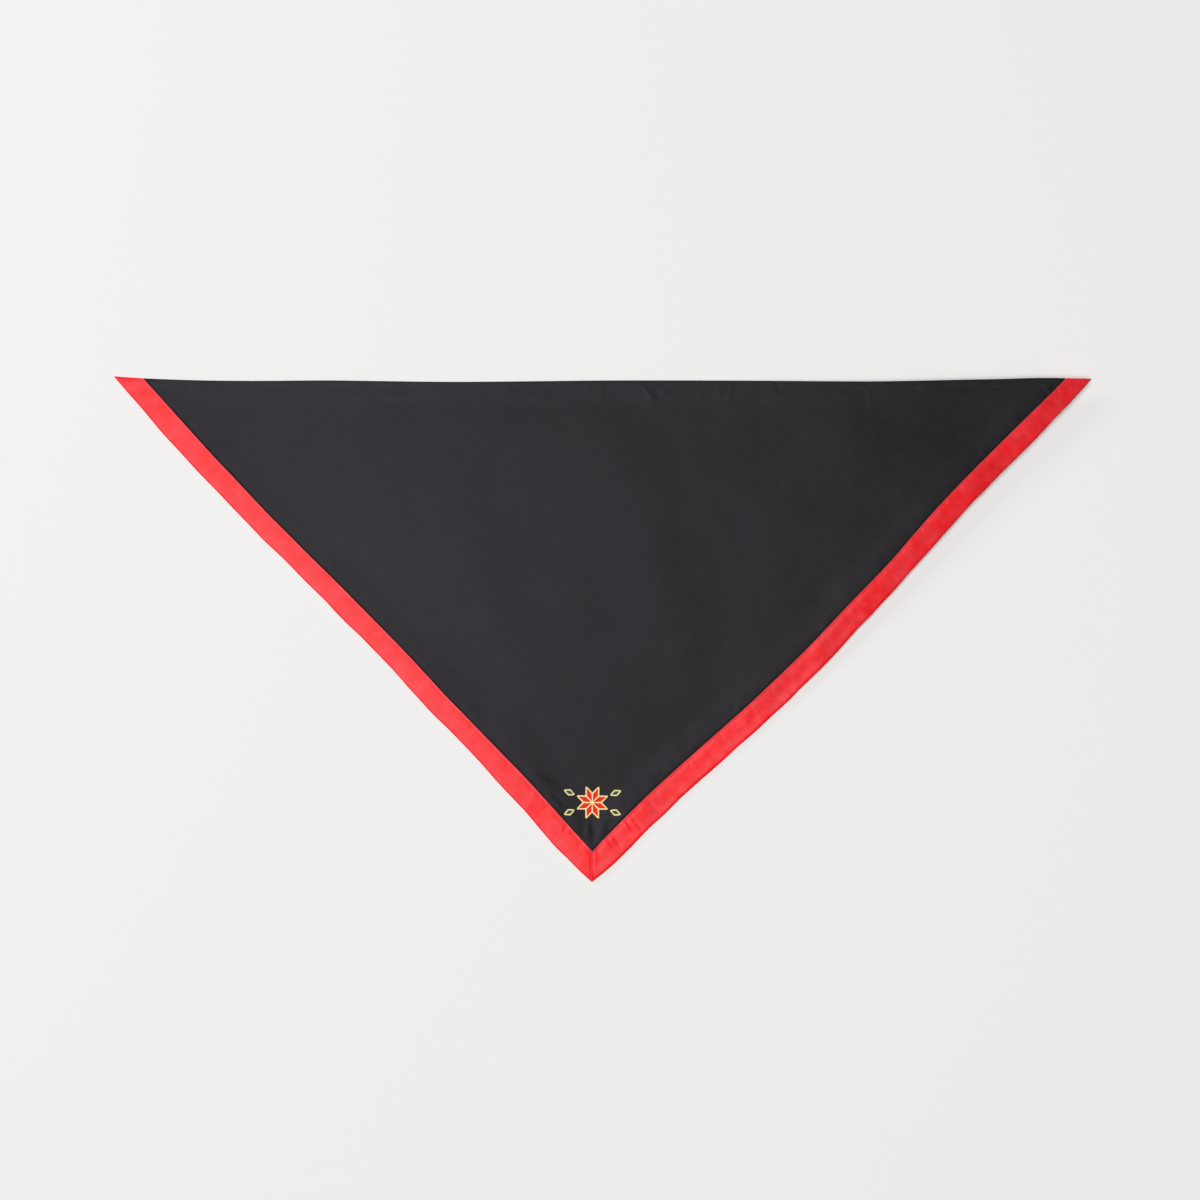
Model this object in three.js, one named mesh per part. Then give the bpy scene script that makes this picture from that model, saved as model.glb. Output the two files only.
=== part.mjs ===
// A triangular neckerchief that lies flat on a surface. A dark cloth panel is hemmed along its long
// edge. A red strip is folded over each short edge, with a mitre at the tip, and a star with leaves is
// embroidered just above the tip. +X runs along the long edge, +Y from the tip to it, and +Z is up.
//
// Every piece is first made flat and straight, as it is cut and sewn. lay() then gives it the place
// and the soft waves that it has on the surface. Lengths are in millimetres.
import * as THREE from "three";

// The whole cloth
const LONG_EDGE = 976.8; // from corner to corner
const DROP = 503.8; // from the long edge to the tip
const TIP_SHIFT = -9.9; // from the long edge's middle to the tip, along the long edge
const CLOTH = 1; // one layer
const LAYER_GAP = 0.3; // between two layers

// The folded border and the hem
const BORDER_WIDTH = 22.5;
const HEM_WIDTH = 9;
const MITRE_GAP = 0.3; // between the two strips where they meet at the tip
const SEAM_REST = 1; // how far the panel stays raised past a border or a hem
const SEAM_EASE = 14; // then how long it takes to come down to the surface
const CORNER_CLIP = 20; // how far down the panel's corners are trimmed inside the border
const TIP_TUCK = 8; // how far the panel reaches into the border at the tip

// How the cloth lies
const SIDE_BOW = 12; // the most that a short edge bows out
const EDGE_SAG = 5; // the most that the long edge sags
const BOW_REACH = 150; // how far a bowed short edge pulls the cloth along with it
const SAG_REACH = 70; // how far the long edge does
const CORNER_REACH = 300; // how far from the middle the sag slides fully along the short edges
const WING_LIFT = 17; // how high the cloth is raised along the upper part of the right edge
const WING_LEVEL = 15; // how far in from the right edge it keeps that height
const WING_SLOPE = 300; // then how far it takes to come down
const WING_FULL = 0.08; // how far along the right edge it keeps that height, as a share
const WING_END = 0.75; // where along the right edge it is down on the surface
const CORNER_CURL = 4; // how much higher the right corner curls
const CORNER_CURL_REACH = 120; // how far from the corner the curl starts
const DROOP = 2; // how far the right border droops at the corner
const DROOP_REACH = 0.26; // the share of the right edge along which the droop falls to about a third
const DROOP_WIDTH = 26; // how far in from the right edge the droop starts
const DRAW_IN = 0.0006; // how much nearer to DRAW_ANCHOR a raised point stands, for each millimetre of height
const DRAW_ANCHOR = { x: -2, y: -222 };
const LEFT_CURL = 1.5; // the height of the left corner
const LEFT_CURL_REACH = 137; // how far along the long edge it takes to come down
const FOLD_HEIGHT = 2.5; // the height of the tallest soft wave

// The embroidery
const MOTIF_RISE = 48.5; // from the border's inner corner to the motif's middle
const STAR_RADIUS = 16.3;
const OUTLINE_WIDTH = 1.3; // of the gold outlines
const LEAF_LENGTH = 10.5;
const LEAF_WIDTH = 5.2;
const LEAF_GAP = 0.5; // between the outlines of a leaf and of the star
const STITCH_GAP = 0.3; // between a filled shape and its outline
const FILL_HEIGHT = 0.7;
const OUTLINE_HEIGHT = 1;

// How finely the curved forms are divided
const PANEL_ROWS = 24;
const PANEL_HALF_COLUMNS = 14;
const BORDER_STATIONS = 44;
const FOLD_STEPS = 4;
const STAR_POINTS = 8;

// Each short edge from its corner to the tip. out is the bow in shares of SIDE_BOW, and wide is the
// border's width in shares of BORDER_WIDTH.
const LEFT_EDGE = [
  { along: 0.0, out: 0.0, wide: 0.95 },
  { along: 0.06, out: 0.15, wide: 0.95 },
  { along: 0.1, out: 0.29, wide: 0.99 },
  { along: 0.18, out: 0.4, wide: 0.99 },
  { along: 0.26, out: 0.34, wide: 0.96 },
  { along: 0.34, out: 0.23, wide: 0.95 },
  { along: 0.42, out: 0.08, wide: 0.95 },
  { along: 0.5, out: 0.0, wide: 0.96 },
  { along: 0.58, out: -0.06, wide: 0.97 },
  { along: 0.66, out: 0.01, wide: 0.98 },
  { along: 0.74, out: -0.04, wide: 0.96 },
  { along: 0.82, out: -0.02, wide: 1.03 },
  { along: 0.9, out: 0.1, wide: 1.04 },
  { along: 0.94, out: 0.2, wide: 1.06 },
  { along: 1.0, out: 0.0, wide: 1.06 },
];
const RIGHT_EDGE = [
  { along: 0.0, out: 0.0, wide: 0.91 },
  { along: 0.06, out: 0.165, wide: 0.91 },
  { along: 0.1, out: 0.185, wide: 0.94 },
  { along: 0.18, out: 0.19, wide: 0.98 },
  { along: 0.26, out: 0.27, wide: 1.0 },
  { along: 0.3, out: 0.39, wide: 1.01 },
  { along: 0.38, out: 0.66, wide: 0.98 },
  { along: 0.46, out: 0.81, wide: 1.03 },
  { along: 0.54, out: 0.98, wide: 1.04 },
  { along: 0.62, out: 0.96, wide: 1.07 },
  { along: 0.7, out: 0.79, wide: 1.09 },
  { along: 0.78, out: 0.46, wide: 1.07 },
  { along: 0.86, out: 0.29, wide: 1.11 },
  { along: 0.94, out: 0.27, wide: 1.1 },
  { along: 1.0, out: 0.0, wide: 1.1 },
];

// The long edge from left to right. out is the sag in shares of EDGE_SAG, below zero because the
// edge moves in.
const LONG_EDGE_LINE = [
  { along: 0.0, out: 0.0 },
  { along: 0.03, out: -0.28 },
  { along: 0.07, out: -0.66 },
  { along: 0.12, out: -0.84 },
  { along: 0.22, out: -0.72 },
  { along: 0.34, out: -0.94 },
  { along: 0.46, out: -0.7 },
  { along: 0.55, out: -0.55 },
  { along: 0.66, out: -0.6 },
  { along: 0.77, out: -0.68 },
  { along: 0.82, out: -0.5 },
  { along: 0.88, out: -0.24 },
  { along: 0.94, out: 0.17 },
  { along: 1.0, out: 0.0 },
];

// The soft waves. x and long are in shares of LONG_EDGE, y of DROP, wide of LONG_EDGE and high of
// FOLD_HEIGHT. turn is in degrees from the long edge.
const WAVES = [
  { x: 0.423, y: 0.7, turn: -46, long: 0.07, wide: 0.028, high: 0.9 },
  { x: 0.25, y: 0.17, turn: 80, long: 0.1, wide: 0.05, high: 0.7 },
  { x: 0.36, y: 0.34, turn: 105, long: 0.13, wide: 0.05, high: 0.6 },
  { x: 0.54, y: 0.26, turn: 95, long: 0.11, wide: 0.05, high: 0.5 },
  { x: 0.66, y: 0.5, turn: 60, long: 0.12, wide: 0.045, high: 0.7 },
  { x: 0.15, y: 0.1, turn: 70, long: 0.06, wide: 0.04, high: 0.5 },
];

// The three edges in plan, before the cloth is laid
function edge(start, end, inside) {
  const line = end.clone().sub(start);
  const length = line.length();
  const along = line.divideScalar(length);
  const inward = new THREE.Vector2(-along.y, along.x);
  if (inside.clone().sub(start).dot(inward) < 0) {
    inward.negate();
  }
  return { start, length, along, inward };
}

const LEFT_CORNER = new THREE.Vector2(-LONG_EDGE / 2, 0);
const RIGHT_CORNER = new THREE.Vector2(LONG_EDGE / 2, 0);
const TIP = new THREE.Vector2(TIP_SHIFT, -DROP);
const leftEdge = edge(LEFT_CORNER, TIP, RIGHT_CORNER);
const rightEdge = edge(RIGHT_CORNER, TIP, LEFT_CORNER);
const topEdge = edge(LEFT_CORNER, RIGHT_CORNER, TIP);
const halfTipAngle = Math.acos(leftEdge.along.dot(rightEdge.along)) / 2;

function share(line, x, y) {
  const ahead = (x - line.start.x) * line.along.x + (y - line.start.y) * line.along.y;
  return THREE.MathUtils.clamp(ahead / line.length, 0, 1);
}

function inset(line, x, y) {
  return (x - line.start.x) * line.inward.x + (y - line.start.y) * line.inward.y;
}

// A point at a distance in from one edge, at a given y
function atInset(line, distance, y) {
  const onEdge = line.start.x + ((y - line.start.y) * line.along.x) / line.along.y;
  return onEdge + distance / line.inward.x;
}

// A table's value at a share of its edge, on a smooth curve through its rows
function tableValue(rows, column, at) {
  const last = rows.length - 1;
  const found = rows.findIndex((row, i) => i < last && at <= rows[i + 1].along);
  const i = found < 0 ? last - 1 : found;
  const slope = (k) => {
    const before = rows[Math.max(k - 1, 0)];
    const after = rows[Math.min(k + 1, last)];
    return (after[column] - before[column]) / (after.along - before.along);
  };
  const step = rows[i + 1].along - rows[i].along;
  const t = THREE.MathUtils.clamp((at - rows[i].along) / step, 0, 1);
  const t2 = t * t;
  const t3 = t2 * t;
  return (
    (2 * t3 - 3 * t2 + 1) * rows[i][column] +
    (t3 - 2 * t2 + t) * step * slope(i) +
    (3 * t2 - 2 * t3) * rows[i + 1][column] +
    (t3 - t2) * step * slope(i + 1)
  );
}

// How far a bowed edge moves a point: the edge's own bow at the edge, the seam's at the seam, and less
// and less past it
function bowAt(line, rows, depth, trim, x, y) {
  const at = share(line, x, y);
  const distance = Math.max(inset(line, x, y), 0);
  const outer = tableValue(rows, "out", at) * depth;
  const seam = outer - (tableValue(rows, "wide", at) - 1) * trim;
  if (distance < trim) {
    return THREE.MathUtils.lerp(outer, seam, distance / trim);
  }
  return seam * (1 - THREE.MathUtils.smoothstep(distance - trim, 0, BOW_REACH));
}

// How far the bows of the two short edges move a point
function sideShift(x, y) {
  const leftBow = bowAt(leftEdge, LEFT_EDGE, SIDE_BOW, BORDER_WIDTH, x, y);
  const rightBow = bowAt(rightEdge, RIGHT_EDGE, SIDE_BOW, BORDER_WIDTH, x, y);
  const shift = new THREE.Vector2();
  shift.addScaledVector(leftEdge.inward, -leftBow);
  shift.addScaledVector(rightEdge.inward, -rightBow);
  return shift;
}

// How far the long edge's sag still has to move a point. Near a corner it slides along the short edge.
function sagShift(x, y) {
  const wanted = tableValue(LONG_EDGE_LINE, "out", share(topEdge, x, 0)) * EDGE_SAG;
  const down = (wanted - sideShift(x, 0).y) * (1 - THREE.MathUtils.smoothstep(-y, 0, SAG_REACH));
  const nearLeft = THREE.MathUtils.clamp(-x / CORNER_REACH, 0, 1);
  const nearRight = THREE.MathUtils.clamp(x / CORNER_REACH, 0, 1);
  const slide =
    (nearLeft * leftEdge.along.x) / leftEdge.along.y + (nearRight * rightEdge.along.x) / rightEdge.along.y;
  return new THREE.Vector2(slide * down, down);
}

// A rounded hump that is exactly flat outside its outline
function hump(wave, x, y) {
  const turn = THREE.MathUtils.degToRad(wave.turn);
  const dx = x - (wave.x - 0.5) * LONG_EDGE;
  const dy = y + wave.y * DROP;
  const lengthwise = (dx * Math.cos(turn) + dy * Math.sin(turn)) / (wave.long * LONG_EDGE);
  const across = (dy * Math.cos(turn) - dx * Math.sin(turn)) / (wave.wide * LONG_EDGE);
  const rest = Math.max(0, 1 - lengthwise * lengthwise - across * across);
  return wave.high * FOLD_HEIGHT * rest * rest;
}

// The height of the raised right side, with its curled corner and drooping border
function wing(x, y) {
  const { smoothstep, clamp } = THREE.MathUtils;
  const distance = Math.max(inset(rightEdge, x, y), 0);
  const at = share(rightEdge, x, y);
  const across = 1 - smoothstep(distance, WING_LEVEL, WING_LEVEL + WING_SLOPE);
  const along = 1 - smoothstep(at, WING_FULL, WING_END);
  const fromCorner = Math.hypot(x - RIGHT_CORNER.x, y - RIGHT_CORNER.y);
  const curl = clamp(1 - fromCorner / CORNER_CURL_REACH, 0, 1) ** 2;
  const droop = Math.exp(-at / DROOP_REACH) * clamp(1 - distance / DROOP_WIDTH, 0, 1);
  return WING_LIFT * across * along + CORNER_CURL * curl - DROOP * droop;
}

function leftCurl(x) {
  const grown = THREE.MathUtils.clamp(1 - (x + LONG_EDGE / 2) / LEFT_CURL_REACH, 0, 1);
  return LEFT_CURL * grown * grown;
}

// The height of the laid cloth's lowest layer above the surface
function lift(x, y) {
  const raised = Math.max(0, wing(x, y)) + leftCurl(x);
  return WAVES.reduce((sum, wave) => sum + hump(wave, x, y), raised);
}

// Moves a point of the flat, straight pattern to its place on the surface
function lay(point) {
  const { x, y } = point;
  const shift = sideShift(x, y).add(sagShift(x, y));
  const raised = lift(x, y);
  point.x = THREE.MathUtils.lerp(x + shift.x, DRAW_ANCHOR.x, DRAW_IN * raised);
  point.y = THREE.MathUtils.lerp(y + shift.y, DRAW_ANCHOR.y, DRAW_IN * raised);
  point.z += raised;
  return point;
}

// Closed bodies from loops of points

// A body skinned over loops that have the same number of points, closed by the faces given for its
// two ends
function skin(loops, endFaces) {
  const size = loops[0].length;
  const positions = loops.flat().flatMap((p) => [p.x, p.y, p.z]);
  const faces = [];
  for (let k = 0; k + 1 < loops.length; k += 1) {
    for (let i = 0; i < size; i += 1) {
      const a = k * size + i;
      const b = k * size + ((i + 1) % size);
      faces.push([a, b, b + size], [a, b + size, a + size]);
    }
  }
  const lastLoop = (loops.length - 1) * size;
  for (const [a, b, c] of endFaces) {
    faces.push([c, b, a], [a + lastLoop, b + lastLoop, c + lastLoop]);
  }
  return facingOut(positions, faces);
}

function facingOut(positions, faces) {
  const corner = (i) => new THREE.Vector3().fromArray(positions, 3 * i);
  const volume = faces.reduce((sum, [a, b, c]) => sum + corner(a).dot(corner(b).cross(corner(c))), 0);
  const index = volume < 0 ? faces.flatMap(([a, b, c]) => [a, c, b]) : faces.flat();
  const geometry = new THREE.BufferGeometry();
  geometry.setAttribute("position", new THREE.Float32BufferAttribute(positions, 3));
  geometry.setIndex(index);
  geometry.computeVertexNormals();
  return geometry;
}

// The panel

// How high the panel's top layer runs over the turned-in layers of a hem or border beside it
function layerRise(x, y) {
  const lines = [
    { line: leftEdge, trim: BORDER_WIDTH },
    { line: rightEdge, trim: BORDER_WIDTH },
    { line: topEdge, trim: HEM_WIDTH },
  ];
  const shares = lines.map(({ line, trim }) => {
    const past = inset(line, x, y) - trim - SEAM_REST;
    return 1 - THREE.MathUtils.smoothstep(past, 0, SEAM_EASE);
  });
  return Math.max(...shares) * (CLOTH + LAYER_GAP);
}

const foldRadius = CLOTH + LAYER_GAP / 2; // outside radius of the hem's fold
const bindingInside = CLOTH * 2 + LAYER_GAP * 3; // the strip's inner fold, and room beside it

// The rows that run along the long edge: under the hem, round its fold and down to the tip
function panelRows() {
  const underside = { z: CLOTH / 2, normal: [0, -1], turned: true };
  const rows = [
    { ...underside, y: -HEM_WIDTH },
    { ...underside, y: -foldRadius },
  ];
  for (let i = 1; i < FOLD_STEPS; i += 1) {
    const angle = Math.PI * (i / FOLD_STEPS - 0.5);
    const bend = (CLOTH + LAYER_GAP) / 2;
    rows.push({
      y: -foldRadius + bend * Math.cos(angle),
      z: foldRadius + bend * Math.sin(angle),
      normal: [Math.cos(angle), Math.sin(angle)],
      turned: true,
    });
  }
  const top = { z: CLOTH / 2, normal: [0, 1], turned: false };
  const easeStart = HEM_WIDTH + SEAM_REST;
  const easeEnd = easeStart + SEAM_EASE;
  const innerCorner = DROP - BORDER_WIDTH / Math.sin(halfTipAngle);
  const lowest = innerCorner + TIP_TUCK;
  const depths = [foldRadius, easeStart, easeStart + SEAM_EASE / 2];
  for (let i = 0; i <= PANEL_ROWS; i += 1) {
    depths.push(THREE.MathUtils.lerp(easeEnd, lowest, i / PANEL_ROWS));
  }
  return rows.concat(depths.map((depth) => ({ ...top, y: -depth })));
}

// How far in from the short edges a row starts: at the seam in the hem, and inside the border past it
function rowInset(row) {
  const seam = BORDER_WIDTH + LAYER_GAP;
  if (row.turned) {
    return seam;
  }
  const trimmed = THREE.MathUtils.clamp((-row.y - foldRadius) / CORNER_CLIP, 0, 1);
  return THREE.MathUtils.lerp(seam, bindingInside, trimmed);
}

// A row's places along X, close together where the panel comes down from a seam
function rowColumns(row) {
  const start = rowInset(row);
  const left = atInset(leftEdge, start, row.y);
  const right = atInset(rightEdge, start, row.y);
  const half = (right - left) / 2;
  const stretch = 1 / leftEdge.inward.x;
  const seam = (BORDER_WIDTH + SEAM_REST - bindingInside) * stretch;
  const ease = SEAM_EASE * stretch;
  const steps = [0, seam, seam + ease / 2, seam + ease];
  const widest = steps[steps.length - 1];
  const squeezed = Math.min(1, (0.5 * half) / widest);
  const firstHalf = steps.map((step) => step * squeezed);
  const inner = PANEL_HALF_COLUMNS - firstHalf.length + 1;
  for (let i = 1; i <= inner; i += 1) {
    firstHalf.push(THREE.MathUtils.lerp(widest * squeezed, half, i / inner));
  }
  const secondHalf = firstHalf.slice(0, -1).reverse();
  return [...firstHalf.map((step) => left + step), ...secondHalf.map((step) => right - step)];
}

function panelGeometry() {
  const loops = panelRows().map((row) => {
    const side = (x, direction) => {
      const y = row.y + (row.normal[0] * direction * CLOTH) / 2;
      const z = row.z + (row.normal[1] * direction * CLOTH) / 2;
      const rise = row.turned ? 0 : layerRise(x, row.y);
      return lay(new THREE.Vector3(x, y, z + rise));
    };
    const columns = rowColumns(row);
    const outside = columns.map((x) => side(x, 1));
    const inside = columns.map((x) => side(x, -1));
    return [...outside, ...inside.reverse()];
  });
  const count = loops[0].length;
  const ends = [];
  for (let i = 0; i + 1 < count / 2; i += 1) {
    const across = count - 1 - i;
    ends.push([i, i + 1, across - 1], [i, across - 1, across]);
  }
  return skin(loops, ends);
}

// A border strip, folded over the panel's edge

function arc(centre, radius, fromTop) {
  const points = [];
  for (let i = 0; i <= FOLD_STEPS; i += 1) {
    const angle = Math.PI * (i / FOLD_STEPS + 0.5);
    const turned = fromTop ? angle : 2 * Math.PI - angle;
    points.push(
      new THREE.Vector2(centre + radius * Math.cos(turned), centre + radius * Math.sin(turned)),
    );
  }
  return points;
}

// The folded strip's section: x is the distance in from the fold, and y the height
function borderSection() {
  const outside = (3 * CLOTH + 2 * LAYER_GAP) / 2;
  const inside = outside - CLOTH;
  const height = 2 * outside;
  const middle = BORDER_WIDTH / 2;
  return [
    new THREE.Vector2(BORDER_WIDTH, height),
    new THREE.Vector2(middle, height),
    ...arc(outside, outside, true),
    new THREE.Vector2(middle, 0),
    new THREE.Vector2(BORDER_WIDTH, 0),
    new THREE.Vector2(BORDER_WIDTH, CLOTH),
    new THREE.Vector2(middle, CLOTH),
    ...arc(outside, inside, false),
    new THREE.Vector2(middle, height - CLOTH),
    new THREE.Vector2(BORDER_WIDTH, height - CLOTH),
  ];
}

// Each line of the section starts at the long edge and ends at the mitre
function borderGeometry(line) {
  const section = borderSection();
  const cornerCosine = Math.abs(line.along.x);
  const cornerSlope = cornerCosine / Math.abs(line.along.y);
  const mitreSlope = 1 / Math.tan(halfTipAngle);
  const mitreBack = MITRE_GAP / 2 / Math.sin(halfTipAngle);
  const loops = [];
  for (let k = 0; k <= BORDER_STATIONS; k += 1) {
    const loop = section.map(({ x: distance, y: height }) => {
      const from = distance * cornerSlope;
      const to = line.length - distance * mitreSlope - mitreBack;
      const ahead = THREE.MathUtils.lerp(from, to, k / BORDER_STATIONS);
      const plan = line.start
        .clone()
        .addScaledVector(line.along, ahead)
        .addScaledVector(line.inward, distance);
      return lay(new THREE.Vector3(plan.x, plan.y, height));
    });
    loops.push(loop);
  }
  return skin(loops, THREE.ShapeUtils.triangulateShape(section, []));
}

// The embroidery

const innerCorner = TIP.clone().addScaledVector(
  leftEdge.along.clone().add(rightEdge.along).normalize(),
  -BORDER_WIDTH / Math.sin(halfTipAngle),
);
const motif = new THREE.Vector2(innerCorner.x, innerCorner.y + MOTIF_RISE);

// A flat shape about the motif's middle, raised to a height and laid on the panel
function stitchedGeometry(shape, height) {
  const flat = new THREE.ExtrudeGeometry(shape, { depth: height, bevelEnabled: false });
  const places = flat.getAttribute("position");
  const point = new THREE.Vector3();
  for (let i = 0; i < places.count; i += 1) {
    point.fromBufferAttribute(places, i);
    point.x += motif.x;
    point.y += motif.y;
    point.z += CLOTH + LAYER_GAP + layerRise(point.x, point.y);
    lay(point);
    places.setXYZ(i, point.x, point.y, point.z);
  }
  flat.computeVertexNormals();
  return flat;
}

// A lozenge with its inner end at the origin's side, pulled in on all sides
function lozenge(start, length, width, turn, pulledIn) {
  const half = length / 2;
  const slant = Math.hypot(half, width / 2);
  const endwise = (pulledIn * slant) / (width / 2);
  const sideways = (pulledIn * slant) / half;
  const corners = [
    new THREE.Vector2(-half + endwise, 0),
    new THREE.Vector2(0, -width / 2 + sideways),
    new THREE.Vector2(half - endwise, 0),
    new THREE.Vector2(0, width / 2 - sideways),
  ];
  const axis = THREE.MathUtils.degToRad(turn);
  return corners.map((c) => {
    const along = start + half + c.x;
    return new THREE.Vector2(
      along * Math.cos(axis) - c.y * Math.sin(axis),
      along * Math.sin(axis) + c.y * Math.cos(axis),
    );
  });
}

const starStep = 360 / STAR_POINTS;
const starWidth = STAR_RADIUS * Math.tan(THREE.MathUtils.degToRad(starStep / 2));
const outlineHalf = OUTLINE_WIDTH / 2;
const starTurns = Array.from({ length: STAR_POINTS }, (_, i) => (i + 0.5) * starStep);

function starLozenge(turn, pulledIn) {
  return lozenge(0, STAR_RADIUS, starWidth, turn, pulledIn);
}

// The star's gold outline: one piece with a window for each lozenge
function starOutlineShape() {
  const rim = starTurns.flatMap((turn) => {
    const [, right, point] = starLozenge(turn, -outlineHalf);
    const notch = right.clone();
    const bisector = THREE.MathUtils.degToRad(turn - starStep / 2);
    const reach = notch.x * Math.cos(bisector) + notch.y * Math.sin(bisector);
    notch.set(reach * Math.cos(bisector), reach * Math.sin(bisector));
    return [notch, point];
  });
  const shape = new THREE.Shape(rim);
  shape.holes = starTurns.map((turn) => new THREE.Path(starLozenge(turn, outlineHalf)));
  return shape;
}

// A leaf goes on in line from each of the star's two points on the left and two on the right
const leafTurns = starTurns.filter((turn) => Math.abs(Math.cos(THREE.MathUtils.degToRad(turn))) > 0.5);

// How far an outline's outer rim goes past a lozenge's point
function outlinePoint(length, width) {
  return outlineHalf / Math.sin(Math.atan2(width, length));
}

const leafStart =
  STAR_RADIUS +
  outlinePoint(STAR_RADIUS, starWidth) +
  LEAF_GAP +
  outlinePoint(LEAF_LENGTH, LEAF_WIDTH);

function leafLozenge(turn, pulledIn) {
  return lozenge(leafStart, LEAF_LENGTH, LEAF_WIDTH, turn, pulledIn);
}

function leafOutlineShape(turn) {
  const shape = new THREE.Shape(leafLozenge(turn, -outlineHalf));
  shape.holes = [new THREE.Path(leafLozenge(turn, outlineHalf))];
  return shape;
}

// Colours and finishes

function fabric(color, roughness) {
  return new THREE.MeshStandardMaterial({ color, roughness, metalness: 0 });
}

const panelCloth = fabric(0x2f2e31, 0.85);
const borderCloth = fabric(0xe8323a, 0.75);
const redThread = fabric(0xe23a34, 0.5);
const greenThread = fabric(0x1d6b4f, 0.5);
const goldThread = fabric(0xf2cf7a, 0.45);

const neckerchief = new THREE.Group();

function add(name, geometry, material) {
  const mesh = new THREE.Mesh(geometry, material);
  mesh.name = name;
  neckerchief.add(mesh);
}

add("panel", panelGeometry(), panelCloth);
add("border_left", borderGeometry(leftEdge), borderCloth);
add("border_right", borderGeometry(rightEdge), borderCloth);
add("star_outline", stitchedGeometry(starOutlineShape(), OUTLINE_HEIGHT), goldThread);
starTurns.forEach((turn, i) => {
  const filled = new THREE.Shape(starLozenge(turn, outlineHalf + STITCH_GAP));
  add(`star_lozenge_${i + 1}`, stitchedGeometry(filled, FILL_HEIGHT), redThread);
});
leafTurns.forEach((turn, i) => {
  const filled = new THREE.Shape(leafLozenge(turn, outlineHalf + STITCH_GAP));
  add(`leaf_${i + 1}`, stitchedGeometry(filled, FILL_HEIGHT), greenThread);
  add(`leaf_outline_${i + 1}`, stitchedGeometry(leafOutlineShape(turn), OUTLINE_HEIGHT), goldThread);
});

// The origin is the middle of the footprint, on the surface
const footprint = new THREE.Box3().setFromObject(neckerchief);
const middle = footprint.getCenter(new THREE.Vector3());
neckerchief.position.set(-middle.x, -middle.y, -footprint.min.z);

export default neckerchief;
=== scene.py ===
"""How the neckerchief looks, lying on a pale floor and seen from straight above.

Every cloth piece is first laid out as a flat, straight pattern. laid() then moves each of its points to
where the edges really run, and lift() gives the height of the cloth's soft waves, creases and puckers.
Pattern lengths are in millimetres, with x along the long edge from its middle, and y down to the tip
below zero. add_piece() changes them to metres in the model's frame.
"""

import math

import bmesh
import bpy
import numpy as np
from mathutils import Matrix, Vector


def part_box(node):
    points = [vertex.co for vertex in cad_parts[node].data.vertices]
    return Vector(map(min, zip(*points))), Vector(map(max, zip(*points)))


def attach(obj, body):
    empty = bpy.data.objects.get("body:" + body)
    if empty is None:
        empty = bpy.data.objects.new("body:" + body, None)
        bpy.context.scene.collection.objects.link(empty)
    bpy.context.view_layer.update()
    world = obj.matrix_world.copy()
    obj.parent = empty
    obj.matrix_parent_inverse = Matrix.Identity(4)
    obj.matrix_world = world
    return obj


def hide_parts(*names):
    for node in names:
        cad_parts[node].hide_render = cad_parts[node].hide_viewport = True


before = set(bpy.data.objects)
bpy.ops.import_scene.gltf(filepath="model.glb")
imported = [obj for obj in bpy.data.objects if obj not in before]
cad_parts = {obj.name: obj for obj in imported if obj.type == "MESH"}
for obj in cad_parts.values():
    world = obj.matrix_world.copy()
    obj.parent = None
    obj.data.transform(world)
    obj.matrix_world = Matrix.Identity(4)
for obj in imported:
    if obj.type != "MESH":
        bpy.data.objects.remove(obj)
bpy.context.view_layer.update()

MM = 0.001

# The cut cloth, as in the model's source, and what a strip has on top for its fold and turned-in edges
LONG_EDGE = 976.8
DROP = 503.8
TIP_SHIFT = -9.9
BORDER = 22.5
HEM = 9.2

# Real thicknesses: a border's leaves are thicker at the seam, where their raw edge is turned in. The
# panel rises over them and over the hem, and comes down within each ease.
CLOTH = 0.42
SLACK = 0.06
LEAF_AT_FOLD = 0.42
LEAF_AT_SEAM = 0.7
BORDER_AT_SEAM = 1.95
HEM_RISE = CLOTH + SLACK
HEM_BULK = 0.55
SEAM_EASE = 30.0
HEM_EASE = 16.0

# How far the folded edges stand out, how far in the bowed edges pull the cloth along, and the share of
# the long edge at each end that slides with the short one
OUTSET = 0.55
BOW_REACH = 150.0
TOP_REACH = 70.0
CORNER_SHARE = 0.3

# The right corner is raised off the floor: how high, how far in from the right edge it keeps that
# height, how far it then takes to come down, and between which shares of that edge it fades out. The
# very corner curls up further, and the border droops.
WING_HEIGHT = 17.0
WING_LEVEL = 15.0
WING_SLOPE = 380.0
WING_FULL = 0.08
WING_END = 0.8
CORNER_CURL = 8.0
CORNER_CURL_REACH = 150.0
DROOP = 7.5
DROOP_REACH = 0.26
DROOP_WIDTH = 36.0
LEFT_CURL = 0.8
LEFT_CURL_REACH = 137.0

# How unevenly the cloth lies: the seed, size and height of its broad and its finer swells, and how
# gently it settles on the floor
SWELLS = ((3, 62.0, 0.8), (4, 27.0, 0.22))
SETTLING = 0.01

# The gathers along a seam: the seed's step, share and size of the fine and the broad ones, and how much
# the fine ones slant
GATHERS = ((0, 0.6, 6.0, 0.3), (20, 0.4, 15.0, 0.0))

# The camera looks straight down on the middle of the photograph, which shows 1.2 m
PHOTO_SIDE = 1200.0
PHOTO_MIDDLE = (-2.4, -222.5)
PHOTO_TURN = 0.135
LENS = 50.0
SENSOR = 36.0
CAMERA_HEIGHT = PHOTO_SIDE * LENS / SENSOR

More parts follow.
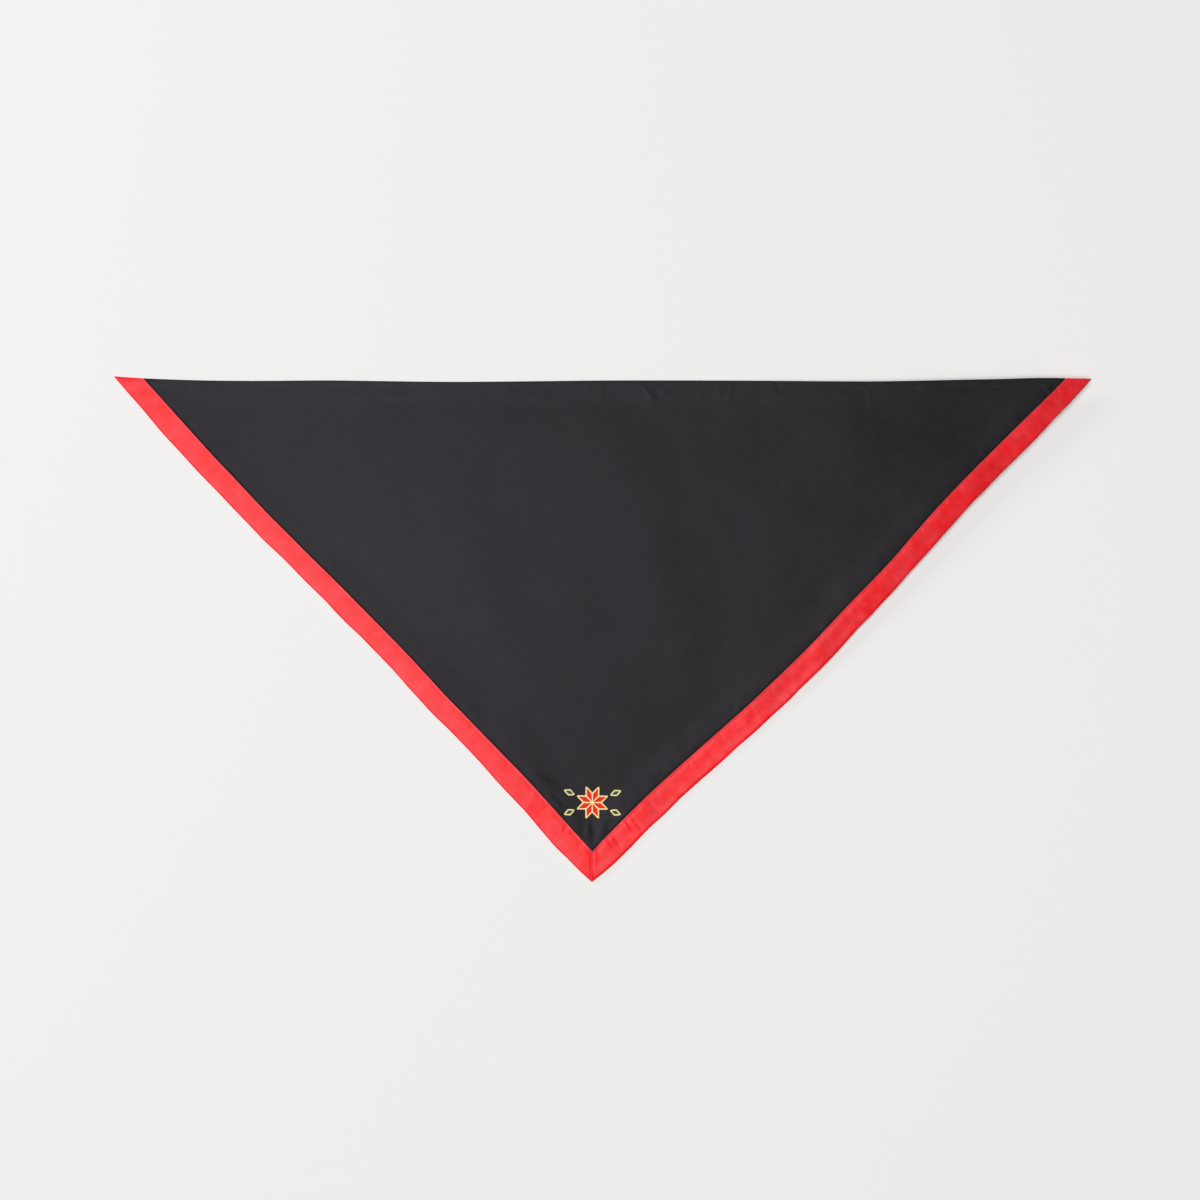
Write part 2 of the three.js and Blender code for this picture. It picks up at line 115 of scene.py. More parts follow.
# Where each short edge runs: edge is how far its outer edge bows in from the straight line between the
# corners, and seam how far the border's inner edge lies from that line
SIDE_COLUMNS = ("along", "edge", "seam")
LEFT_SIDE = (
    (0.00, 0.0, 20.8), (0.02, -0.8, 20.3), (0.06, -1.8, 19.5), (0.10, -3.4, 18.8),
    (0.14, -3.9, 18.2), (0.18, -4.6, 17.6), (0.22, -4.3, 17.7), (0.30, -3.9, 17.6),
    (0.34, -2.8, 18.4), (0.38, -2.0, 19.1), (0.42, -1.1, 20.2), (0.50, 0.0, 21.5),
    (0.58, 0.8, 22.4), (0.62, 0.4, 22.2), (0.66, -0.1, 21.8), (0.70, 0.4, 22.2),
    (0.78, 0.7, 22.9), (0.82, 0.3, 23.4), (0.86, -0.1, 23.0), (0.90, -1.3, 22.3),
    (0.94, -2.2, 21.6), (0.98, -0.9, 21.5), (1.00, 0.0, 22.4),
)
RIGHT_SIDE = (
    (0.00, 0.0, 19.2), (0.02, -1.0, 18.8), (0.06, -2.0, 18.5), (0.10, -2.2, 19.0),
    (0.18, -2.3, 19.6), (0.22, -2.6, 19.6), (0.26, -3.3, 19.2), (0.30, -4.7, 18.0),
    (0.34, -6.3, 16.2), (0.38, -7.9, 14.2), (0.42, -9.2, 13.5), (0.46, -9.9, 13.3),
    (0.50, -10.8, 12.6), (0.54, -11.7, 11.8), (0.58, -11.8, 11.9), (0.62, -11.5, 12.6),
    (0.66, -10.7, 13.4), (0.70, -9.4, 15.0), (0.74, -7.5, 16.8), (0.78, -5.6, 18.6),
    (0.82, -4.3, 20.2), (0.86, -3.5, 21.4), (0.90, -3.2, 21.8), (0.94, -3.2, 21.6),
    (0.98, -1.8, 21.2), (1.00, 0.0, 22.4),
)

# How far the long edge sags below the straight line between the corners
TOP_COLUMNS = ("along", "edge")
TOP_SIDE = (
    (0.00, 0.0), (0.02, 1.3), (0.06, 3.0), (0.10, 4.0), (0.14, 4.2),
    (0.22, 3.6), (0.26, 4.0), (0.34, 4.7), (0.42, 4.0), (0.50, 3.0),
    (0.58, 2.8), (0.66, 2.9), (0.74, 3.2), (0.78, 3.2), (0.82, 2.5),
    (0.86, 1.5), (0.90, 0.6), (0.94, -0.6), (0.98, -0.3), (1.00, 0.0),
)

# The soft waves of the panel: the middle, the way the crest runs in degrees, half its length, half its
# width and its height
WAVES = (
    (-84, -358, -46, 52, 24, 0.7), (-244, -86, 80, 98, 49, 0.35),
    (-137, -171, 105, 127, 49, 0.35), (39, -131, 95, 107, 49, 0.4),
    (156, -252, 60, 117, 44, 0.4), (-342, -50, 70, 59, 39, 0.3),
)

# Short creases in the same columns: beside the embroidery, along the hem, in the right corner, and on
# the borders near the tip. One below zero is a dent.
CREASE_SHARPNESS = 1.5
CREASES = (
    (-59.5, -403.5, -27, 22, 5.5, 0.5), (-45, -419.5, -25, 11, 2.6, -0.25),
    (-46, -426.5, -20, 11, 3.2, 0.3), (-35.5, -440, -50, 11, 5, -0.3),
    (-25, -452, -62, 10, 3.2, 0.25), (-14, -451, 86, 12, 3, 0.3),
    (-7.5, -456, 82, 9, 2.6, -0.25), (0, -451, 66, 11, 3, 0.3),
    (10, -443.5, 47, 11, 3.6, -0.3), (25, -434.5, 22, 10, 3.2, 0.3),
    (24.5, -426, -30, 8, 2.2, -0.25), (-320, -16, 78, 12, 3, 0.14),
    (-245, -15, 62, 13, 3.2, 0.16), (-241, -13, -58, 10, 3, 0.14),
    (-60, -14, 84, 12, 3.4, 0.14), (-2, -13, 74, 12, 3, 0.16),
    (46, -14, -56, 15, 3.2, 0.3), (57, -17, -58, 12, 2.6, -0.18),
    (175, -13, -64, 13, 3.4, 0.2), (268, -13, -74, 12, 3.2, 0.18),
    (440, -12, -62, 11, 3, 0.5), (449, -14, -60, 9, 2.6, -0.4),
    (34.3, -443.6, -50, 10, 2.2, -0.75), (24, -447, -50, 8, 2.8, 0.55),
    (14.5, -460.5, -47, 8, 2.2, -0.7), (4.5, -463.5, -50, 7, 2.8, 0.5),
    (68, -426, -45, 4, 1.8, -0.5), (48, -423, -50, 5, 1.6, -0.3),
    (58, -418, -50, 6, 2.4, 0.25), (-36, -449, 48, 5, 1.8, -0.3),
    (-72, -412, 48, 5, 2.2, -0.2),
)

# How finely the cloth is divided. The panel's rows are closer together near the tip, and closest at the
# hem's fold, from where the step grows.
PANEL_STEP = 2.7
TIP_STEP = 1.45
TIP_ZONE = 150.0
TIP_ZONE_EASE = 40.0
HEM_STEP = 1.1
FIRST_STEP = 0.6
STEP_GROWTH = 0.09
BORDER_STEP = 1.25
BORDER_COLUMNS = 26
NOSE_STEPS = 6
FOLD_STEPS = 8

# A border's rings at its ends, and where the even ones begin
END_STATIONS = (0.0, 0.05, 0.15, 0.3, 0.5)
EVEN_FROM = 1.2

# How far in from the edge the panel ends: the hem's leaf, the layer within the borders, which gets there
# within a depth of TUCK_EASE, and the very tip
HEM_TUCK = BORDER + 0.4
TUCK = 6.0
TUCK_EASE = 30.0
TIP_TUCK = 12.0

# Where the panel is pulled down beside a border's seam, and the columns under the border and beside it
GROOVE_DEPTH = 0.35
GROOVE_PLACE = 0.8
GROOVE_WIDTH = 0.6
HIDDEN_COLUMNS = (12.0, 17.0, 20.0, 21.6, 22.3)
SEAM_COLUMNS = (22.7, 23.0, 23.3, 23.6, 23.9, 24.3, 24.9, 26.0, 28.0, 30.2)

# The rows of stitches, and between which distances in from the tip's edges the mitre is stitched
STITCH = 2.4
STITCH_GAP = 0.5
HEM_STITCH_INSET = 7.8
BORDER_STITCH_INSET = 1.9
THREAD = 0.34
MITRE_STITCHES = (1.5, 11.0)

# A border's relief. It grows toward the tip, from TIP_GAIN_FROM before it and over TIP_GAIN_EASE.
TIP_GAIN_FROM = 190.0
TIP_GAIN_EASE = 120.0
SWELL_TIP_GAIN = 0.6
DRAG_TIP_GAIN = 0.3

# The swells of the upper leaf: the way they slant, and the seed's step, stretch, size and height of the
# broad and the fine ones
SWELL_SLANT = 60.0
BORDER_SWELLS = ((0, 2.0, 13.0, 0.17), (1, 2.6, 5.0, 0.025))

# The lumps along the fold: the seed's step, share and size of the broad and the fine ones, how much they
# are stretched across the border, and how far in they reach
FOLD_LUMPS = ((2, 0.6, 17.0), (3, 0.4, 8.0))
LUMP_STRETCH = 3.0
FOLD_SWELL_WIDTH = 11.0

# The dents where the stitches drag the cloth: how far from the mitre they end, their spacing, slant in
# degrees, length and width, and the small pit at the start of each
DRAG_END = 20
DRAG_SPACING = (8.0, 24.0)
DRAG_SLANT = (60, 110)
DRAG_LENGTH = (5, 12)
DRAG_WIDTH = (0.9, 1.9)
DRAG_START = 1.5
PIT_DEPTH = 0.2
PIT_RADIUS = 1.4
PIT_OUT = 0.6

# The crown between fold and stitches, the groove of the stitches, the share of the relief that is left
# there and in the fold
CROWN = 0.12
STITCH_GROOVE = 0.1
STITCH_GROOVE_WIDTH = 0.7
HELD_SHARE = 0.35
HELD_WIDTH = 4.0
FOLD_TAKES = 0.4

# The fold's kinks, and where the colour is painted lighter as a painted highlight: the edge at the seam, and
# patches at the fold
KINKS = 60
KINK_SPACING = (14.0, 32.0)
KINK_DEPTH = 0.5
KINK_EASE = 20.0
HIGHLIGHT_WIDTH = 0.8
FOLD_HIGHLIGHT_WIDTH = 16.0
FOLD_HIGHLIGHT_PATCH = 26.0
FOLD_HIGHLIGHT_CONTRAST = 1.2

# A border's ends: rounded and thinned, with the relief fading out, a gap at the mitre, and the right one
# stepping up where it lies over the other
END_ROUNDING = 0.45
END_THINNING = 0.45
RELIEF_EASE = 4.0
MITRE_GAP = 0.05
MITRE_STEP_REACH = 9.0
MITRE_STEP_GAIN = 1.6

# The embroidery: its middle, its sizes as in the model's source, and its threads. Packed is the share of
# a thread's width from one stitch to the next.
MOTIF = (-9.7, -423.6)
STAR_RADIUS = 16.3
STAR_POINTS = 8
OUTLINE_WIDTH = 1.3
OUTLINE_STITCH = 1.7
LEAF_LENGTH = 10.5
LEAF_WIDTH = 5.2
LEAF_GAP = 0.5
FILL_THREAD = 0.36
FILL_SLANT = 62.0
OUTLINE_THREAD = 0.3
BOBBIN_RADIUS = 0.12
PACKED = 0.85
SHORTEST_STITCH = 0.25


# The pattern's edges


def table(rows, names):
    return {name: np.array([row[i] for row in rows]) for i, name in enumerate(names)}


class Side:
    """One straight edge of the pattern, with the table that says where it really runs."""

    def __init__(self, start, end, inside, columns):
        self.start = np.array(start)
        line = np.array(end) - self.start
        self.length = float(np.hypot(*line))
        self.along = line / self.length
        self.inward = np.array([-self.along[1], self.along[0]])
        if (np.array(inside) - self.start) @ self.inward < 0:
            self.inward = -self.inward
        self.columns = columns

    def ahead(self, x, y):
        return (x - self.start[0]) * self.along[0] + (y - self.start[1]) * self.along[1]

    def share(self, x, y):
        return np.clip(self.ahead(x, y) / self.length, 0, 1)

    def inset(self, x, y):
        return (x - self.start[0]) * self.inward[0] + (y - self.start[1]) * self.inward[1]

    def point(self, ahead, inset):
        x = self.start[0] + self.along[0] * ahead + self.inward[0] * inset
        y = self.start[1] + self.along[1] * ahead + self.inward[1] * inset
        return x, y

    def value(self, name, at):
        """A column of the table at a share of the edge, on a smooth curve through its rows."""
        xs = self.columns["along"]
        ys = self.columns[name]
        slopes = np.gradient(ys, xs)
        i = np.clip(np.searchsorted(xs, at, side="right") - 1, 0, len(xs) - 2)
        step = xs[i + 1] - xs[i]
        t = np.clip((at - xs[i]) / step, 0, 1)
        start = (2 * t**3 - 3 * t**2 + 1) * ys[i] + (t**3 - 2 * t**2 + t) * step * slopes[i]
        end = (3 * t**2 - 2 * t**3) * ys[i + 1] + (t**3 - t**2) * step * slopes[i + 1]
        return start + end


LEFT_CORNER = (-LONG_EDGE / 2, 0.0)
RIGHT_CORNER = (LONG_EDGE / 2, 0.0)
TIP = (TIP_SHIFT, -DROP)
left = Side(LEFT_CORNER, TIP, RIGHT_CORNER, table(LEFT_SIDE, SIDE_COLUMNS))
right = Side(RIGHT_CORNER, TIP, LEFT_CORNER, table(RIGHT_SIDE, SIDE_COLUMNS))
top = Side(LEFT_CORNER, RIGHT_CORNER, TIP, table(TOP_SIDE, TOP_COLUMNS))
half_tip_angle = math.acos(left.along @ right.along) / 2
origin_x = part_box("border_left")[0][0] / MM + LONG_EDGE / 2
origin_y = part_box("border_left")[1][1] / MM


def ease(t):
    t = np.clip(t, 0, 1)
    return t * t * (3 - 2 * t)


def side_shift(side, x, y):
    """How far a short edge's bow moves a point, in from the edge."""
    at = side.share(x, y)
    inset = np.maximum(side.inset(x, y), 0)
    outer = side.value("edge", at) - OUTSET
    seam = side.value("seam", at) - OUTSET - BORDER
    in_border = outer + (seam - outer) * inset / BORDER
    past = seam * (1 - ease((inset - BORDER) / BOW_REACH))
    return np.where(inset < BORDER, in_border, past)


def both_sides_shift(x, y):
    shift_x = np.zeros_like(x)
    shift_y = np.zeros_like(x)
    for side in (left, right):
        moved = side_shift(side, x, y)
        shift_x = shift_x + side.inward[0] * moved
        shift_y = shift_y + side.inward[1] * moved
    return shift_x, shift_y


def laid(x, y):
    """The plan place of a pattern point once the cloth lies on the floor."""
    shift_x, shift_y = both_sides_shift(x, y)
    _, shift_at_top = both_sides_shift(x, np.zeros_like(y))
    missing = -top.value("edge", top.share(x, y)) - shift_at_top
    missing = missing * (1 - ease(-y / TOP_REACH))
    # Near a corner the long edge's shift slides along the short edge, so that it stays where it is
    leftness = np.clip(-x / (CORNER_SHARE * LONG_EDGE), 0, 1)
    rightness = np.clip(x / (CORNER_SHARE * LONG_EDGE), 0, 1)
    slide = leftness * left.along[0] / left.along[1] + rightness * right.along[0] / right.along[1]
    return x + shift_x + slide * missing, y + shift_y + missing


# The height of the cloth


def noise(seed, x, y, size):
    """Smooth noise from -1 to 1, with lumps of about the given size."""
    cells = 97
    grid = np.random.default_rng(seed).uniform(-1, 1, (cells, cells))
    u = np.asarray(x) / size + 1000
    v = np.asarray(y) / size + 1000
    i = np.floor(u).astype(int)
    j = np.floor(v).astype(int)
    fu = u - i
    fv = v - j
    fu = fu * fu * (3 - 2 * fu)
    fv = fv * fv * (3 - 2 * fv)
    near = grid[i % cells, j % cells] * (1 - fu) + grid[(i + 1) % cells, j % cells] * fu
    far = grid[i % cells, (j + 1) % cells] * (1 - fu) + grid[(i + 1) % cells, (j + 1) % cells] * fu
    return near * (1 - fv) + far * fv


def wave_frame(row, x, y):
    """A point's place along and across a wave or crease, in shares of its half length and half width."""
    middle_x, middle_y, degrees, half_length, half_width, _ = row
    turn = math.radians(degrees)
    dx = x - middle_x
    dy = y - middle_y
    lengthwise = (dx * math.cos(turn) + dy * math.sin(turn)) / half_length
    across = (dy * math.cos(turn) - dx * math.sin(turn)) / half_width
    return lengthwise, across


def wave_height(row, x, y):
    lengthwise, across = wave_frame(row, x, y)
    rest = np.clip(1 - lengthwise**2 - across**2, 0, 1)
    return row[-1] * rest**2


def crease_height(row, x, y):
    lengthwise, across = wave_frame(row, x, y)
    fade = np.clip(1 - lengthwise**2, 0, 1) ** 2
    return row[-1] * fade * np.exp(-CREASE_SHARPNESS * across**2)


def pucker_height(x, y):
    """The gathers along each seam, which fade as they run out into the panel."""
    total = np.zeros_like(x)
    for seed, side, width, reach, high in (
        (11, left, BORDER, 20.0, 0.16),
        (12, right, BORDER, 26.0, 0.22),
        (13, top, HEM, 20.0, 0.16),
    ):
        past = np.abs(side.inset(x, y) - width)
        ahead = side.ahead(x, y)
        gathers = 0
        for step, share, size, slant in GATHERS:
            gathers = gathers + share * noise(seed + step, ahead + slant * past, past, size)
        total = total + high * (gathers + 1) * np.exp(-((past / reach) ** 2) * 2)
    return total


def lift(x, y):
    """The height of the cloth's lowest layer above the floor."""
    inset = np.maximum(right.inset(x, y), 0)
    share = right.share(x, y)
    across = 1 - ease((inset - WING_LEVEL) / WING_SLOPE)
    along = 1 - ease((share - WING_FULL) / (WING_END - WING_FULL))
    from_corner = np.hypot(x - RIGHT_CORNER[0], y - RIGHT_CORNER[1])
    height = WING_HEIGHT * across * along
    height = height + CORNER_CURL * np.clip(1 - from_corner / CORNER_CURL_REACH, 0, 1) ** 2
    height = height - DROOP * np.exp(-share / DROOP_REACH) * np.clip(1 - inset / DROOP_WIDTH, 0, 1) ** 2
    height = height + LEFT_CURL * np.clip(1 - (x + LONG_EDGE / 2) / LEFT_CURL_REACH, 0, 1) ** 2
    for seed, size, high in SWELLS:
        height = height + 0.5 * (1 + noise(seed, x, y, size)) * high
    for row in WAVES:
        height = height + wave_height(row, x, y)
    small = pucker_height(x, y)
    for row in CREASES:
        small = small + crease_height(row, x, y)
    total = height + small
    return 0.5 * (total + np.sqrt(total**2 + SETTLING))


def placed(x, y, z):
    """Points in millimetres of the model's frame. A raised point is drawn in a little, so that the
    camera sees it where the photograph shows it."""
    plan_x, plan_y = laid(x, y)
    height = lift(x, y) + z
    nearer = 1 - height / CAMERA_HEIGHT
    plan_x = PHOTO_MIDDLE[0] + (plan_x - PHOTO_MIDDLE[0]) * nearer
    plan_y = PHOTO_MIDDLE[1] + (plan_y - PHOTO_MIDDLE[1]) * nearer
    return np.stack([plan_x + origin_x, plan_y + origin_y, height], axis=-1)


# Materials

# The cloth's weave: a yarn's width and the relief in millimetres, and the slubs' scale and detail
CLOTH_ROUGHNESS = 0.33
CLOTH_SHEEN = 0.03
YARN = 0.5
WEAVE_RELIEF = 0.02
SLUBS = (900.0, 2.0)

# Its change of shade: the scale and detail of each noise, and how much the streaks are drawn out
BROAD_SHADE = (20.0, 4.0)
CRUSHED_SHADE = (95.0, 3.0)
FINE_SHADE = (350.0, 2.0)
STREAK_SCALE = 0.7
# The patches of painted sheen in green and blue: the scale and detail of their noise
SHEEN_PATCHES = (55.0, 3.0)

# The right border's red is painted darker toward the corner, as painted shade: where that starts and
# ends, in metres along X, and what the colour is multiplied by
CORNER_SHADE_FROM = 0.1
CORNER_SHADE_TO = 0.43
PAINTED_CORNER_SHADE = (0.8, 1.15, 1.1)
# The lighter red of the painted highlight along the border's edges
HIGHLIGHT_RED = (0.9, 0.1, 0.12)

# The threads: the scale and detail of their shade and of their twist
THREAD_SHEEN = 0.1
THREAD_SHADE = (700.0, 3.0)
TWIST = (4000.0, 2.0)
TWIST_STRENGTH = 0.6
TWIST_RELIEF = 0.05


def set_inputs(node, values):
    for name, value in values.items():
        node.inputs[name].default_value = value


def new_material(name, roughness, sheen, specular):
    material = bpy.data.materials.new(name)
    material.use_nodes = True
    shader = material.node_tree.nodes["Principled BSDF"]
    set_inputs(shader, {"Roughness": roughness, "Sheen Weight": sheen, "Specular IOR Level": specular})
    return material, material.node_tree.nodes, material.node_tree.links, shader


def noise_node(nodes, links, vector, scale, detail):
    node = nodes.new("ShaderNodeTexNoise")
    set_inputs(node, {"Scale": scale, "Detail": detail})
    links.new(vector, node.inputs["Vector"])
    return node.outputs["Fac"]


def math_node(nodes, links, operation, first, second):
    node = nodes.new("ShaderNodeMath")
    node.operation = operation
    for socket, value in zip(node.inputs, (first, second)):
        if isinstance(value, (int, float)):
            socket.default_value = value
        else:
            links.new(value, socket)
    return node.outputs[0]


def ramp_node(nodes, links, factor, low, high, start=0.3, end=0.7):
    node = nodes.new("ShaderNodeValToRGB")
    for element, place, colour in zip(node.color_ramp.elements, (start, end), (low, high)):
        element.position = place
        element.color = (*colour, 1)
    links.new(factor, node.inputs["Fac"])
    return node.outputs["Color"]


def multiplied(nodes, links, colour, tone):
    product = nodes.new("ShaderNodeVectorMath")
    product.operation = "MULTIPLY"
    links.new(colour, product.inputs[0])
    links.new(tone, product.inputs[1])
    return product.outputs["Vector"]


def bump_node(nodes, links, shader, height, strength, distance):
    bump = nodes.new("ShaderNodeBump")
    set_inputs(bump, {"Strength": strength, "Distance": distance * MM})
    links.new(height, bump.inputs["Height"])
    links.new(bump.outputs["Normal"], shader.inputs["Normal"])


def yarn_wave(nodes, links, across):
    turns = math_node(nodes, links, "MULTIPLY", across, math.pi / (YARN * MM))
    return math_node(nodes, links, "SINE", turns, 0.0)


def woven(name, low, high, specular, tint=None, crush=45, painted_highlight=None, far=None, sheen_patchiness=0.0):
    """Plain-weave cloth: yarns over and under each other, with slubs and a soft change of shade. The
    shade runs in short streaks at an angle of crush degrees. Tint is the gloss's colour. The last three
    paint light into the colour: the lighter colour of a painted highlight where the mesh's attribute
    marks the border's edges, a colour that multiplies it toward the right corner as painted shade, and
    the share by which green and blue vary in patches as painted sheen."""
    material, nodes, links, shader = new_material(name, CLOTH_ROUGHNESS, CLOTH_SHEEN, specular)
    if tint:
        shader.inputs["Specular Tint"].default_value = (*tint, 1)
    place = nodes.new("ShaderNodeTexCoord").outputs["Object"]
    mapping = nodes.new("ShaderNodeMapping")
    mapping.vector_type = "TEXTURE"
    set_inputs(mapping, {"Rotation": (0, 0, math.radians(-crush)), "Scale": (STREAK_SCALE, 1, 1)})
    links.new(place, mapping.inputs["Vector"])
    streaks = mapping.outputs["Vector"]
    parts = nodes.new("ShaderNodeSeparateXYZ")
    links.new(place, parts.inputs[0])
    warp = yarn_wave(nodes, links, parts.outputs["X"])
    weft = yarn_wave(nodes, links, parts.outputs["Y"])
    weave = math_node(nodes, links, "MULTIPLY", warp, weft)
    height = math_node(nodes, links, "ADD", weave, noise_node(nodes, links, place, *SLUBS))
    bump_node(nodes, links, shader, height, 1.0, WEAVE_RELIEF)
    shade = 0.0
    for vector, noise_is, weight in (
        (place, BROAD_SHADE, 0.35),
        (streaks, CRUSHED_SHADE, 0.4),
        (place, FINE_SHADE, 0.25),
    ):
        part = math_node(nodes, links, "MULTIPLY", noise_node(nodes, links, vector, *noise_is), weight)
        shade = math_node(nodes, links, "ADD", shade, part)
    colour = ramp_node(nodes, links, shade, low, high, 0.4, 0.6)
    # Painted shade: red is multiplied darker, and green and blue a little higher, toward the right corner
    if far:
        towards = nodes.new("ShaderNodeMapRange")
        set_inputs(towards, {"From Min": CORNER_SHADE_FROM, "From Max": CORNER_SHADE_TO})
        links.new(parts.outputs["X"], towards.inputs["Value"])
        tone = ramp_node(nodes, links, towards.outputs["Result"], (1.0, 1.0, 1.0), far, 0.0, 1.0)
        colour = multiplied(nodes, links, colour, tone)
    # Painted sheen: green and blue rise and fall in patches, where the cloth's gloss would vary
    if sheen_patchiness:
        patches = noise_node(nodes, links, streaks, *SHEEN_PATCHES)
        deeper = (1.0, 1 - sheen_patchiness, 1 - sheen_patchiness)
        paler = (1.0, 1 + sheen_patchiness, 1 + sheen_patchiness)
        colour = multiplied(nodes, links, colour, ramp_node(nodes, links, patches, deeper, paler))
    # Painted highlight: the colour is mixed toward a lighter one where the mesh's attribute marks it
    if painted_highlight:
        mark = nodes.new("ShaderNodeAttribute")
        mark.attribute_name = "painted_highlight"
        mix = nodes.new("ShaderNodeMix")
        mix.data_type = "RGBA"
        links.new(mark.outputs["Fac"], mix.inputs["Factor"])
        links.new(colour, mix.inputs["A"])
        mix.inputs["B"].default_value = (*painted_highlight, 1)
        colour = mix.outputs["Result"]
    links.new(colour, shader.inputs["Base Color"])
    return material


def thread(name, low, high, roughness, specular=0.5):
    """Glossy sewing thread with a fine twist."""
    material, nodes, links, shader = new_material(name, roughness, THREAD_SHEEN, specular)
    place = nodes.new("ShaderNodeTexCoord").outputs["Object"]
    shade = noise_node(nodes, links, place, *THREAD_SHADE)
    links.new(ramp_node(nodes, links, shade, low, high), shader.inputs["Base Color"])
    bump_node(nodes, links, shader, noise_node(nodes, links, place, *TWIST), TWIST_STRENGTH, TWIST_RELIEF)
    return material


BLACK_CLOTH = woven(
    "black_cloth", (0.0128, 0.0118, 0.0126), (0.0158, 0.0147, 0.0156), specular=0.0515, tint=(0.9, 0.85, 1.0)
)
RED_LEFT = woven(
    "red_cloth_left", (0.82, 0.011, 0.016), (0.93, 0.017, 0.024), specular=0.116, painted_highlight=HIGHLIGHT_RED, sheen_patchiness=0.9
)
# The right strip is the same red cloth with painted shade: its red runs a little lower on average than the
# left's, and is made darker toward the corner
RED_RIGHT = woven(
    "red_cloth_right", (0.76, 0.013, 0.019), (0.95, 0.018, 0.025), specular=0.128, crush=135,
    painted_highlight=HIGHLIGHT_RED, far=PAINTED_CORNER_SHADE, sheen_patchiness=0.55,
)
BLACK_THREAD = thread("black_thread", (0.010, 0.010, 0.011), (0.02, 0.02, 0.021), 0.5)
RED_SEWING_THREAD = thread("red_sewing_thread", (0.6, 0.018, 0.03), (0.8, 0.03, 0.045), 0.45)
# A much darker red thread for the mitre's stitches: real stitches whose dark colour is painted shade for the
# mitre's groove
SHADED_RED_THREAD = thread("shaded_red_thread", (0.2, 0.008, 0.014), (0.34, 0.014, 0.022), 0.6, 0.2)
RED_SILK = thread("red_silk", (0.74, 0.02, 0.012), (0.92, 0.034, 0.02), 0.4, 0.3)
GREEN_SILK = thread("green_silk", (0.006, 0.07, 0.052), (0.012, 0.12, 0.09), 0.4)
GOLD_SILK = thread("gold_silk", (0.98, 0.74, 0.28), (1.0, 0.88, 0.46), 0.4)
BOBBIN_THREAD = thread("bobbin_thread", (0.02, 0.02, 0.022), (0.05, 0.05, 0.053), 0.5)


# Meshes


def new_object(name, data):
    made = bpy.data.objects.new(name, data)
    bpy.context.collection.objects.link(made)
    return made


def add_piece(name, points, faces, material):
    """A mesh from points in millimetres of the model's frame, which rides on the one body."""
    mesh = bpy.data.meshes.new(name)
    mesh.from_pydata((points * MM).tolist(), [], faces.tolist())
    mesh.polygons.foreach_set("use_smooth", np.ones(len(mesh.polygons), bool))
    mesh.materials.append(material)
    piece = new_object(name, mesh)
    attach(piece, "root")
    return piece


def zip_rows(first, first_x, second, second_x):
    """Triangles between two rows of points that may differ in number."""
    first_at = np.append((first_x - first_x[0]) / (first_x[-1] - first_x[0]), 2.0)
    second_at = np.append((second_x - second_x[0]) / (second_x[-1] - second_x[0]), 2.0)
    i = 0
    j = 0
    faces = []
    while i < len(first_x) - 1 or j < len(second_x) - 1:
        if first_at[i + 1] <= second_at[j + 1]:
            faces.append((first + i, second + j, first + i + 1))
            i += 1
        else:
            faces.append((first + i, second + j, second + j + 1))
            j += 1
    return faces


# The panel


def seam_rise(x, y):
    """How high the panel's layer runs over the turned-in layers beside it. The stitches pull it down in
    a narrow groove along each border."""
    rise = np.zeros_like(x)
    groove = np.zeros_like(x)
    for side, width, amount, reach in (
        (left, BORDER, LEAF_AT_SEAM + SLACK, SEAM_EASE),
        (right, BORDER, LEAF_AT_SEAM + SLACK, SEAM_EASE),
        (top, HEM, HEM_RISE, HEM_EASE),
    ):
        past = side.inset(x, y) - width
        rise = np.maximum(rise, amount * (1 - ease(past / reach)))
        if side is top:
            rise = rise + HEM_BULK * np.clip(-past / HEM, 0, 1)
        else:
            groove = groove + GROOVE_DEPTH * np.exp(-(((past - GROOVE_PLACE) / GROOVE_WIDTH) ** 2))
    return rise - groove


def panel_rows():
    """Rows along the long edge: the hem's leaf, its fold and then the top layer down to the tip. Each
    has its y, the height of the layer's middle, the way the layer faces in y and z, and whether it is
    the top one."""
    bend = (CLOTH + SLACK + HEM_BULK) / 2
    outside = bend + CLOTH / 2
    leaf_end = 1.2 * outside
    rows = []
    for y in np.arange(HEM, leaf_end, -HEM_STEP):
        rows.append((-y, CLOTH / 2, 0.0, -1.0, False))
    for i in range(FOLD_STEPS + 1):
        angle = math.pi * (i / FOLD_STEPS - 0.5)
        y = -outside + bend * math.cos(angle)
        rows.append((y, outside + bend * math.sin(angle), math.cos(angle), math.sin(angle), False))
    depth = outside
    lowest = DROP - (BORDER - TIP_TUCK) / math.sin(half_tip_angle)
    while depth < lowest:
        near_tip = ease((depth - (lowest - TIP_ZONE)) / TIP_ZONE_EASE)
        step = PANEL_STEP + (TIP_STEP - PANEL_STEP) * near_tip
        depth += min(step, FIRST_STEP + STEP_GROWTH * depth)
        rows.append((-min(depth, lowest), CLOTH / 2, 0.0, 1.0, True))
    return rows


def row_columns(edge_left, edge_right, inset, step):
    """Places along a row: close together where it passes each border's seam, and even between them."""
    near = np.array([inset, *HIDDEN_COLUMNS, *SEAM_COLUMNS])
    near = near[near >= inset]
    from_left = edge_left + (near - inset) / left.inward[0]
    from_right = edge_right + (near - inset) / right.inward[0]
    gap = from_right[-1] - from_left[-1]
    if gap < 2 * step:
        count = max(4, int(round(edge_right - edge_left)) + 1)
        return np.linspace(edge_left, edge_right, count)
    middle = np.linspace(from_left[-1], from_right[-1], int(round(gap / step)) + 1)
    return np.concatenate([from_left[:-1], middle, from_right[:-1][::-1]])


def wall(a, b, total, flip):
    """The two triangles that join the shells between two neighbouring points of an edge."""
    faces = ((a, a + total, b + total), (a, b + total, b))
    return [face[::-1] for face in faces] if flip else faces


